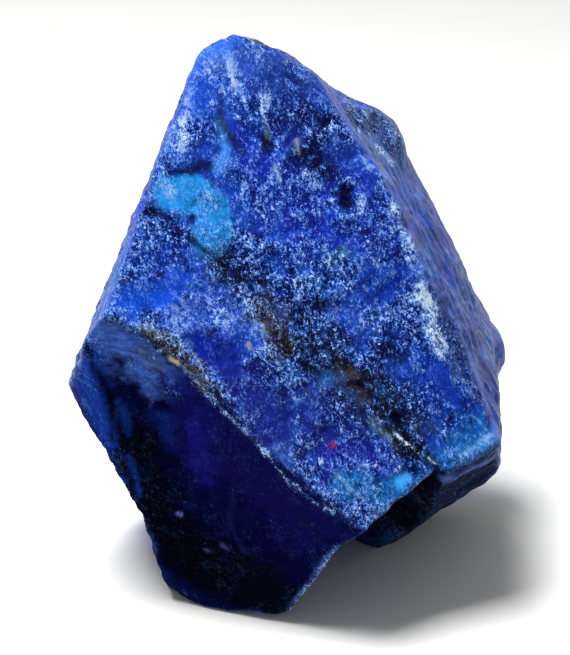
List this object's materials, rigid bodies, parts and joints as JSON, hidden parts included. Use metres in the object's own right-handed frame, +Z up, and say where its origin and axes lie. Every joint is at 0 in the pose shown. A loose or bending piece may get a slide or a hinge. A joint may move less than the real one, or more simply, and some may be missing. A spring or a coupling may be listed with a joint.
{
  "type": "rough sapphire",
  "caption": "Lump of rough blue sapphire, broken on all sides and pointed at the top, that stands on a small flat spot.",
  "frame": {"origin": "centre of the bounding box on the plane that the stone rests on", "axes": "+Z up along the stone's greatest height, -Y towards the broad front face, +X to its right"},
  "size_m": [0.089, 0.0732, 0.1089],
  "materials": {
    "broken_sapphire": "freshly broken, sugary and wet-looking, opaque ultramarine with pale and dark veins"
  },
  "bodies": {
    "root": {"rough_sapphire": "broken_sapphire"}
  },
  "joints": []
}
